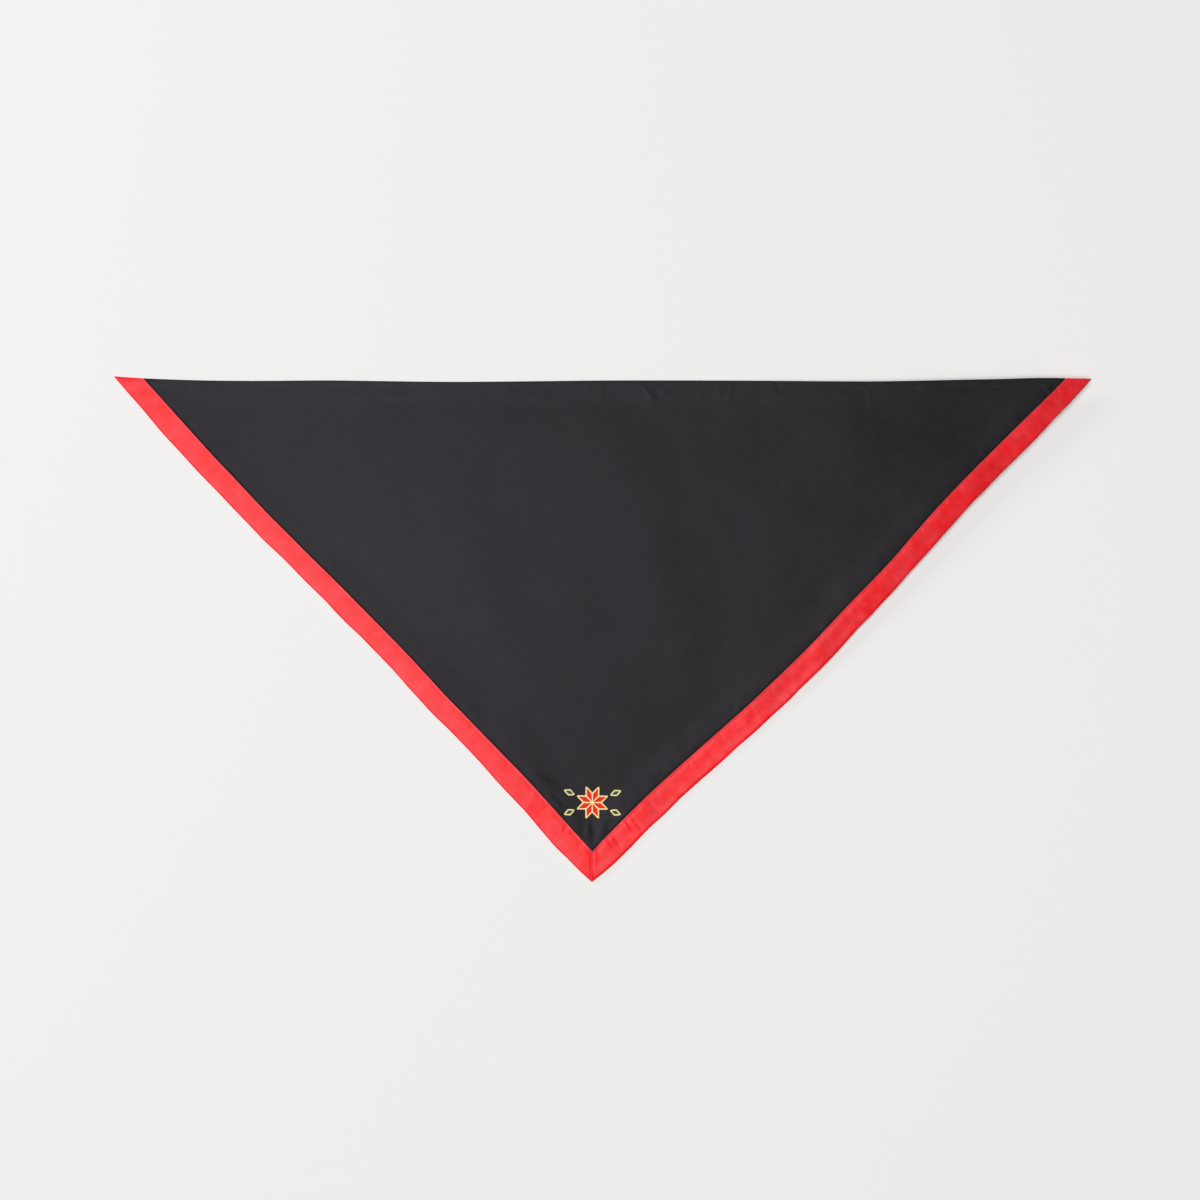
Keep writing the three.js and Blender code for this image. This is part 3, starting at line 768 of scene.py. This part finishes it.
def panel_piece():
    """Two shells half the cloth's thickness to either side of its middle, joined by walls at the edges."""
    points = []
    starts = []
    counts = []
    for y, middle, face_y, face_z, on_top in panel_rows():
        inset = HEM_TUCK
        if on_top:
            inset = HEM_TUCK + (TUCK - HEM_TUCK) * min(1.0, -y / TUCK_EASE)
        edge_left = left.start[0] + left.along[0] / left.along[1] * y + inset / left.inward[0]
        edge_right = right.start[0] + right.along[0] / right.along[1] * y + inset / right.inward[0]
        step = PANEL_STEP if -y < DROP - TIP_ZONE else TIP_STEP
        x = row_columns(edge_left, edge_right, inset, step)
        count = len(x)
        rise = seam_rise(x, np.full(count, y)) if on_top else np.zeros(count)
        starts.append(sum(counts))
        counts.append(count)
        points.append((x, y, middle + rise, face_y, face_z))
    total = sum(counts)
    shells = []
    for direction in (1, -1):
        layer = []
        for x, y, height, face_y, face_z in points:
            offset = direction * CLOTH / 2
            row_y = np.full(len(x), y + face_y * offset)
            layer.append(placed(x, row_y, height + face_z * offset))
        shells.append(np.concatenate(layer))
    faces = []
    for k in range(len(counts) - 1):
        outer = zip_rows(starts[k], points[k][0], starts[k + 1], points[k + 1][0])
        faces.extend(outer)
        faces.extend((c + total, b + total, a + total) for a, b, c in outer)
        faces.extend(wall(starts[k], starts[k + 1], total, False))
        faces.extend(wall(starts[k] + counts[k] - 1, starts[k + 1] + counts[k + 1] - 1, total, True))
    for k, flip in ((0, True), (len(counts) - 1, False)):
        for i in range(starts[k], starts[k] + counts[k] - 1):
            faces.extend(wall(i, i + 1, total, flip))
    return add_piece("panel_cloth", np.concatenate(shells), np.array(faces), BLACK_CLOTH)


# The borders


def thickness(inset, at_fold):
    """The border's whole thickness and one leaf's, by the distance in from the fold."""
    share = ease(inset / BORDER)
    whole = at_fold + (BORDER_AT_SEAM - at_fold) * share
    leaf = LEAF_AT_FOLD + (LEAF_AT_SEAM - LEAF_AT_FOLD) * share
    return whole, leaf


def border_section(at_fold, fold_round, edge_highlight):
    """The folded strip's outline: the distance in from the fold, the height, how much of the upper leaf's
    relief each point takes, and how much lighter its colour is painted, as a painted highlight."""
    half_fold = at_fold / 2
    inner_round = fold_round - LEAF_AT_FOLD
    inner_half = half_fold - LEAF_AT_FOLD
    flat = np.linspace(BORDER - LEAF_AT_SEAM / 2, fold_round, BORDER_COLUMNS)
    section = []

    def nose(centre_height, upper):
        radius = LEAF_AT_SEAM / 2
        for i in range(1, NOSE_STEPS):
            angle = math.pi * (i / NOSE_STEPS - 0.5)
            height = centre_height + radius * math.sin(angle)
            section.append((BORDER - radius + radius * math.cos(angle), height, upper, edge_highlight * upper))

    def fold(across, high, turns):
        for i in range(1, turns):
            angle = math.pi * (0.5 + i / turns)
            place = fold_round + across * math.cos(angle)
            section.append((place, half_fold + high * math.sin(angle), FOLD_TAKES, 0.0))

    for inset in flat:
        # Painted highlight: the colour is lighter near the seam's edge, where the fold's edge catches the
        # light
        painted_highlight = edge_highlight * math.exp(-(((BORDER - inset) / HIGHLIGHT_WIDTH) ** 2))
        section.append((inset, thickness(inset, at_fold)[0], 1.0, painted_highlight))
    fold(fold_round, half_fold, FOLD_STEPS)
    for inset in flat[::-2]:
        section.append((inset, 0.0, 0.0, 0.0))
    nose(LEAF_AT_SEAM / 2, 0.0)
    for inset in flat[::3]:
        section.append((inset, thickness(inset, at_fold)[1], 0.0, 0.0))
    inner_fold = len(section)
    fold(inner_round, inner_half, FOLD_STEPS // 2)
    section[inner_fold:] = section[inner_fold:][::-1]
    for inset in flat[::-3]:
        whole, leaf = thickness(inset, at_fold)
        section.append((inset, whole - leaf, 1.0, 0.0))
    nose(BORDER_AT_SEAM - LEAF_AT_SEAM / 2, 1.0)
    return np.array(section)


def toward_tip(ahead, length, gain):
    """How much stronger a border's relief is near the tip."""
    return 1 + gain * ease((ahead - length + TIP_GAIN_FROM) / TIP_GAIN_EASE)


def drag_lines(seed, side, depth):
    """Short dents that start at the stitches and run out across a border, each with its own place,
    slant, length, width and depth."""
    random = np.random.default_rng(seed)
    ahead = np.cumsum(random.uniform(*DRAG_SPACING, int(side.length / DRAG_SPACING[0])))
    ahead = ahead[ahead < side.length - DRAG_END]
    count = len(ahead)
    gain = toward_tip(ahead, side.length, DRAG_TIP_GAIN)
    slant = np.radians(random.uniform(*DRAG_SLANT, count))
    length = random.uniform(*DRAG_LENGTH, count) * gain
    width = random.uniform(*DRAG_WIDTH, count) * gain
    return np.stack([ahead, slant, length, width, depth * random.uniform(0.3, 1, count) * gain], axis=1)


def border_relief(seed, lines, ahead, inset, length, groove, fold_swell):
    """The height of the upper leaf over its plain thickness: soft swells, lumps along the fold, dents
    where the stitches drag the cloth, and the groove of the stitches themselves."""
    slant = math.radians(SWELL_SLANT)
    along = ahead * math.cos(slant) + inset * math.sin(slant)
    across = inset * math.cos(slant) - ahead * math.sin(slant)
    swells = 0
    for step, stretch, size, high in BORDER_SWELLS:
        swells = swells + high * (noise(seed + step, along / stretch, across, size) + 1)
    total = toward_tip(ahead, length, SWELL_TIP_GAIN) * swells
    lumps = 0
    for step, share, size in FOLD_LUMPS:
        lumps = lumps + share * noise(seed + step, ahead, inset / LUMP_STRETCH, size)
    total = total + fold_swell * (lumps + 1) * ease(1 - inset / FOLD_SWELL_WIDTH)
    out = BORDER - BORDER_STITCH_INSET - inset
    for place, turn, reach, width, depth in lines:
        past = ahead - place
        if np.abs(past).min() >= 3 * reach:
            continue
        lengthwise = (out * math.sin(turn) + past * math.cos(turn)) / reach
        sideways = (past * math.sin(turn) - out * math.cos(turn)) / width
        fade = ease(1 - lengthwise) * ease(1 + (lengthwise * reach + DRAG_START) / DRAG_START)
        total = total - depth * fade * np.exp(-(sideways**2))
        pit = np.exp(-(past**2 + (out - PIT_OUT) ** 2) / PIT_RADIUS**2)
        total = total - PIT_DEPTH * groove * pit
    from_stitches = inset - (BORDER - BORDER_STITCH_INSET)
    crown = CROWN * np.sin(np.pi * np.clip(inset / BORDER, 0, 1))
    held = HELD_SHARE + (1 - HELD_SHARE) * ease(np.abs(from_stitches) / HELD_WIDTH)
    stitched = STITCH_GROOVE * groove * np.exp(-((from_stitches / STITCH_GROOVE_WIDTH) ** 2))
    return crown + held * total - stitched


def kinks(seed, ahead):
    """The slightly uneven line of a pressed fold, from -1 to 1, straight between its kinks."""
    random = np.random.default_rng(seed)
    places = np.cumsum(random.uniform(*KINK_SPACING, KINKS))
    return np.interp(ahead, places, random.uniform(-1, 1, KINKS))


def border_piece(
    name, side, material, seed, at_fold, fold_round, edge_highlight, fold_highlight, dents, groove, raised, fold_swell
):
    """One folded strip. At_fold is its thickness at the fold, and fold_round how far in the fold's round
    reaches. The next two say how much lighter its colour is painted, as a painted highlight, at the seam
    and beside the fold. Dents, groove and fold_swell scale the relief, and raised is its step up at the
    mitre."""
    section = border_section(at_fold, fold_round, edge_highlight)
    inset, height, takes, seam_highlight = section.T
    lines = drag_lines(seed + 5, side, dents)
    corner_slope = abs(side.along[0] / side.along[1])
    mitre_slope = 1 / math.tan(half_tip_angle)
    start = inset * corner_slope
    end = side.length - inset * mitre_slope - MITRE_GAP / math.sin(half_tip_angle)
    close = np.array(END_STATIONS)
    even = np.linspace(EVEN_FROM, side.length - EVEN_FROM, int(side.length / BORDER_STEP))
    stations = np.concatenate([close, even, side.length - close[::-1]])
    middle = thickness(inset, at_fold)[0] / 2
    rings = []
    painted_highlight = []
    for at in stations / side.length:
        ahead = start + (end - start) * at
        from_end = min(at, 1 - at) * side.length
        rounded = 1 - math.sqrt(max(0.0, 1 - max(0.0, 1 - from_end / END_ROUNDING) ** 2))
        shift = KINK_DEPTH * kinks(seed + 9, ahead) * (1 - inset / BORDER)
        x, y = side.point(ahead, inset + shift * min(1.0, from_end / KINK_EASE))
        to_mitre = side.length * (1 - at)
        step_up = raised * ease(1 - to_mitre / MITRE_STEP_REACH) * ease(inset / BORDER * MITRE_STEP_GAIN)
        relief = border_relief(seed, lines, ahead, inset, side.length, groove, fold_swell)
        z = height + takes * (relief * min(1.0, from_end / RELIEF_EASE) + step_up)
        rings.append(placed(x, y, middle + (z - middle) * (1 - END_THINNING * rounded)))
        # Painted highlight: lighter at the mitre's edge, where it catches the light, and in patches beside
        # the outer fold
        at_mitre = edge_highlight * math.exp(-((to_mitre / HIGHLIGHT_WIDTH) ** 2)) * (takes > FOLD_TAKES)
        patches = np.clip(1 + FOLD_HIGHLIGHT_CONTRAST * noise(seed + 4, ahead, inset / 2, FOLD_HIGHLIGHT_PATCH), 0, 2)
        beside_fold = fold_highlight * patches * ease(1 - inset / FOLD_HIGHLIGHT_WIDTH) * (takes > 0)
        painted_highlight.append(np.maximum(seam_highlight, at_mitre) + beside_fold)
    size = len(section)
    points = np.concatenate(rings)
    faces = []
    for k in range(len(rings) - 1):
        for i in range(size):
            a = k * size + i
            b = k * size + (i + 1) % size
            faces.append((a, b, b + size, a + size))
    quads = np.array(faces)
    piece = add_piece(name, points, quads, material)
    layer = piece.data.attributes.new("painted_highlight", "FLOAT", "POINT")
    layer.data.foreach_set("value", np.concatenate(painted_highlight))
    close_ends(piece, size, len(rings))
    return piece


def close_ends(piece, size, rings):
    """Closes a lofted strip's two open ends."""
    work = bmesh.new()
    work.from_mesh(piece.data)
    work.verts.ensure_lookup_table()
    for first, reverse in ((0, False), (size * (rings - 1), True)):
        loop = [work.verts[first + i] for i in range(size)]
        face = work.faces.new(loop[::-1] if reverse else loop)
        face.smooth = False
    bmesh.ops.triangulate(work, faces=[f for f in work.faces if len(f.verts) > 4])
    bmesh.ops.recalc_face_normals(work, faces=work.faces[:])
    work.to_mesh(piece.data)
    work.free()


# Threads


def threads(starts, ends, radius, rise, sides=6, sections=7, sunk=0.12):
    """Joined tubes from start to end points, each (n, 3): x and y in the pattern and the height of the
    surface there. Each arches over the cloth and dips into it at both ends."""
    share = np.linspace(0, 1, sections)
    arch = np.sin(np.pi * share) ** 0.6
    direction = ends[:, :2] - starts[:, :2]
    direction = direction / np.maximum(np.linalg.norm(direction, axis=1, keepdims=True), 1e-6)
    sideways = np.stack([-direction[:, 1], direction[:, 0]], axis=1)
    centre = starts[:, None] * (1 - share[None, :, None]) + ends[:, None] * share[None, :, None]
    centre[..., 2] += np.sign(rise) * (abs(rise) * arch - sunk * (1 - arch))
    angle = 2 * np.pi * np.arange(sides) / sides
    width = radius * (0.55 + 0.45 * arch)
    ring = np.stack([np.cos(angle), np.sin(angle)], axis=1)
    points = np.repeat(centre[:, :, None], sides, axis=2)
    points[..., :2] += sideways[:, None, None] * (ring[:, 0][None, None] * width[None, :, None])[..., None]
    points[..., 2] += ring[:, 1][None, None] * width[None, :, None]
    flat = points.reshape(-1, 3)
    x, y, z = flat[:, 0], flat[:, 1], flat[:, 2]
    count = len(starts)
    base = np.arange(count)[:, None, None] * sections * sides
    ring_start = np.arange(sections - 1)[None, :, None] * sides
    i = np.arange(sides)[None, None]
    j = (i + 1) % sides
    near = base + ring_start
    quads = np.stack([near + i, near + j, near + sides + j, near + sides + i], axis=-1)
    return placed(x, y, z), quads.reshape(-1, 4)


def stitch_row(side, inset, surface, first, last, rise):
    """A row of stitches along an edge, on the surface at the given height."""
    step = STITCH + STITCH_GAP
    count = int((last - first) / step)
    ahead = first + step * np.arange(count)
    start_x, start_y = side.point(ahead, inset)
    end_x, end_y = side.point(ahead + STITCH, inset)
    starts = np.stack([start_x, start_y, surface(start_x, start_y)], axis=1)
    ends = np.stack([end_x, end_y, surface(end_x, end_y)], axis=1)
    return threads(starts, ends, THREAD / 2, rise, sections=5)


def panel_top(x, y):
    return CLOTH + seam_rise(x, y)


def level(height):
    return lambda x, y: np.full_like(x, height)


def stitches():
    first = BORDER * 2
    last = LONG_EDGE - first
    above = stitch_row(top, HEM_STITCH_INSET, panel_top, first, last, 0.1)
    below = stitch_row(top, HEM_STITCH_INSET, level(0.0), first, last, -0.02)
    both_rows("hem_stitches", above, below, BLACK_THREAD)
    for name, side in (("border_stitches_left", left), ("border_stitches_right", right)):
        inset = BORDER - BORDER_STITCH_INSET
        first = inset * abs(side.along[0] / side.along[1]) + 1
        last = side.length - inset / math.tan(half_tip_angle) - 2
        above = stitch_row(side, inset, level(BORDER_AT_SEAM), first, last, 0.12)
        below = stitch_row(side, inset, level(0.0), first, last, -0.02)
        both_rows(name, above, below, RED_SEWING_THREAD)


def mitre_stitches():
    """The short row that closes the outer half of the mitre."""
    mitre = Side(TIP, (TIP_SHIFT, 0.0), RIGHT_CORNER, left.columns)
    first = MITRE_STITCHES[0] / math.sin(half_tip_angle)
    last = MITRE_STITCHES[1] / math.sin(half_tip_angle)
    points, faces = stitch_row(mitre, 0.0, level(BORDER_AT_SEAM), first, last, 0.1)
    # The thread's dark red is painted shade for the mitre's groove
    return add_piece("mitre_stitches", points, faces, SHADED_RED_THREAD)


def both_rows(name, above, below, material):
    points = np.concatenate([above[0], below[0]])
    faces = np.concatenate([above[1], below[1] + len(above[0])])
    return add_piece(name, points, faces, material)


# The embroidery


def lozenge(start, length, width, turn, pulled_in):
    """A lozenge's inner, right, outer and left corners, as in the model's source."""
    half = length / 2
    slant = math.hypot(half, width / 2)
    endwise = pulled_in * slant / (width / 2)
    sideways = pulled_in * slant / half
    reach = half - endwise
    high = width / 2 - sideways
    axis = math.radians(turn)
    along = start + half + np.array([-reach, 0, reach, 0])
    across = np.array([0, -high, 0, high])
    x = along * math.cos(axis) - across * math.sin(axis)
    y = along * math.sin(axis) + across * math.cos(axis)
    return np.stack([x, y], axis=1)


star_step = 360 / STAR_POINTS
star_width = STAR_RADIUS * math.tan(math.radians(star_step / 2))
star_turns = [(i + 0.5) * star_step for i in range(STAR_POINTS)]
leaf_turns = [turn for turn in star_turns if abs(math.cos(math.radians(turn))) > 0.5]


def outline_point(length, width):
    """How far an outline's outer rim goes past a lozenge's point."""
    return OUTLINE_WIDTH / 2 / math.sin(math.atan2(width, length))


star_reach = STAR_RADIUS + outline_point(STAR_RADIUS, star_width)
leaf_start = star_reach + LEAF_GAP + outline_point(LEAF_LENGTH, LEAF_WIDTH)


def on_motif(plan, height, surface=panel_top):
    """Points of the motif's plan, with a height above the panel's top or another of its surfaces."""
    x = plan[..., 0] + MOTIF[0]
    y = plan[..., 1] + MOTIF[1]
    return np.stack([x, y, surface(x, y) + height], axis=-1)


def fill_lines(corners, pitch):
    """Satin stitches in two halves, each slanting from the lozenge's middle line to its rim."""
    inner, low, outer, high = corners
    length = np.linalg.norm(outer - inner)
    axis = (outer - inner) / length
    lean = 1 / math.tan(math.radians(FILL_SLANT))
    starts = []
    ends = []
    for side_corner in (low, high):
        across = side_corner - (inner + outer) / 2
        half_width = np.linalg.norm(across)
        across = across / half_width
        slope = half_width / (length / 2)
        tilt = lean * half_width / (length / 2)
        for at in np.arange(pitch / 2, length, pitch):
            # The stitch starts on the middle line and leans out along the lozenge until it meets the rim
            rising = slope * at / (1 - tilt)
            falling = slope * (length - at) / (1 + tilt)
            reach = min(rising, falling)
            if reach > SHORTEST_STITCH:
                starts.append(inner + axis * at)
                ends.append(inner + axis * (at + lean * reach) + across * reach)
    return np.array(starts), np.array(ends)


def outline_lines(corners, width, pitch):
    """Short stitches that cross a closed outline, with a slight lean."""
    starts = []
    ends = []
    for a, b in zip(corners, np.roll(corners, -1, axis=0)):
        length = np.linalg.norm(b - a)
        along = (b - a) / length
        across = np.array([-along[1], along[0]])
        for at in np.arange(0, length, pitch):
            middle = a + along * at
            lean = along * 0.18 * width
            starts.append(middle - across * width / 2 - lean)
            ends.append(middle + across * width / 2 + lean)
    return np.array(starts), np.array(ends)


def joined(lines):
    starts = np.concatenate([line[0] for line in lines])
    ends = np.concatenate([line[1] for line in lines])
    return starts, ends


def embroidery():
    inside = OUTLINE_WIDTH * 0.2
    star = [lozenge(0, STAR_RADIUS, star_width, turn, 0) for turn in star_turns]
    star_fill = [lozenge(0, STAR_RADIUS, star_width, turn, inside) for turn in star_turns]
    leaves = [lozenge(leaf_start, LEAF_LENGTH, LEAF_WIDTH, turn, 0) for turn in leaf_turns]
    leaf_fill = [lozenge(leaf_start, LEAF_LENGTH, LEAF_WIDTH, turn, inside) for turn in leaf_turns]
    pieces = {}
    for name, shapes, material, slot in (
        ("star_stitches", star_fill, RED_SILK, "red_thread"),
        ("leaf_stitches", leaf_fill, GREEN_SILK, "green_thread"),
    ):
        starts, ends = joined([fill_lines(shape, FILL_THREAD * PACKED) for shape in shapes])
        points, faces = threads(on_motif(starts, 0.1), on_motif(ends, 0.0), FILL_THREAD / 2, 0.3)
        pieces[name] = add_piece(name, points, faces, material)
    for name, shapes in (("star_outline_stitches", star), ("leaf_outline_stitches", leaves)):
        pitch = OUTLINE_THREAD * PACKED
        starts, ends = joined([outline_lines(shape, OUTLINE_STITCH, pitch) for shape in shapes])
        points, faces = threads(on_motif(starts, 0.0), on_motif(ends, 0.0), OUTLINE_THREAD / 2, 0.42)
        pieces[name] = add_piece(name, points, faces, GOLD_SILK)
    back = [outline_lines(shape, OUTLINE_WIDTH, OUTLINE_THREAD * 1.2) for shape in star + leaves]
    back += [fill_lines(shape, FILL_THREAD * 1.3) for shape in star_fill + leaf_fill]
    starts, ends = (on_motif(side, 0.0, seam_rise) for side in joined(back))
    points, faces = threads(starts, ends, BOBBIN_RADIUS, -0.04, sections=4, sunk=0.05)
    pieces["embroidery_back"] = add_piece("embroidery_back", points, faces, BOBBIN_THREAD)
    return pieces


# The stage


def floor():
    """A pale square just below the cloth, in metres."""
    size = 6.0
    height = -0.0003
    corners = ((-size, -size), (size, -size), (size, size), (-size, size))
    mesh = bpy.data.meshes.new("floor")
    mesh.from_pydata([(x, y, height) for x, y in corners], [], [(0, 1, 2, 3)])
    material, _, _, shader = new_material("floor_paper", 0.9, 0.0, 0.2)
    shader.inputs["Base Color"].default_value = (0.8, 0.8, 0.795, 1)
    mesh.materials.append(material)
    new_object("floor", mesh)


def area_light(name, place, aim, size, power):
    light = bpy.data.lights.new(name, "AREA")
    light.shape = "RECTANGLE"
    light.size = size[0]
    light.size_y = size[1]
    light.energy = power
    lamp = new_object(name, light)
    lamp.location = place
    direction = Vector(aim) - Vector(place)
    lamp.rotation_euler = direction.to_track_quat("-Z", "Y").to_euler()


def camera():
    data = bpy.data.cameras.new("camera")
    data.lens = LENS
    data.sensor_width = SENSOR
    view = new_object("camera", data)
    middle_x, middle_y = PHOTO_MIDDLE
    view.location = ((middle_x + origin_x) * MM, (middle_y + origin_y) * MM, CAMERA_HEIGHT * MM)
    view.rotation_euler = (0, 0, math.radians(PHOTO_TURN))
    bpy.context.scene.camera = view


def stage():
    scene = bpy.context.scene
    scene.view_settings.view_transform = "Standard"
    world = bpy.data.worlds.new("studio")
    world.use_nodes = True
    set_inputs(world.node_tree.nodes["Background"], {"Color": (1, 1, 1, 1), "Strength": 0.03})
    scene.world = world
    area_light("overhead", place=(-2.4, -0.25, 12.0), aim=(-0.05, 0.0, 0.0), size=(7.0, 2.0), power=1438)
    area_light("key", place=(-3.7, 2.15, 2.35), aim=(0.2, 0.1, 0.0), size=(1.7, 1.7), power=48)
    area_light("fill", place=(2.5, -0.5, 2.0), aim=(0.2, 0.0, 0.0), size=(1.2, 1.2), power=7)
    floor()


camera()
stage()
panel = panel_piece()
border_left = border_piece(
    "border_left_cloth", left, RED_LEFT, seed=31, at_fold=1.4, fold_round=0.8, edge_highlight=0.8, fold_highlight=0.1,
    dents=0.3, groove=0.2, raised=0.0, fold_swell=0.3,
)
border_right = border_piece(
    "border_right_cloth", right, RED_RIGHT, seed=41, at_fold=2.0, fold_round=1.6, edge_highlight=0.2, fold_highlight=0.0,
    dents=0.2, groove=1.3, raised=0.35, fold_swell=0.5,
)
stitches()
mitre_stitches()
sewn = embroidery()

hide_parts("panel")
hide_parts("border_left")
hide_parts("border_right")
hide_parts(*[f"star_lozenge_{i + 1}" for i in range(STAR_POINTS)])
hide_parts("star_outline")
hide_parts(*[f"leaf_{i + 1}" for i in range(len(leaf_turns))])
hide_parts(*[f"leaf_outline_{i + 1}" for i in range(len(leaf_turns))])
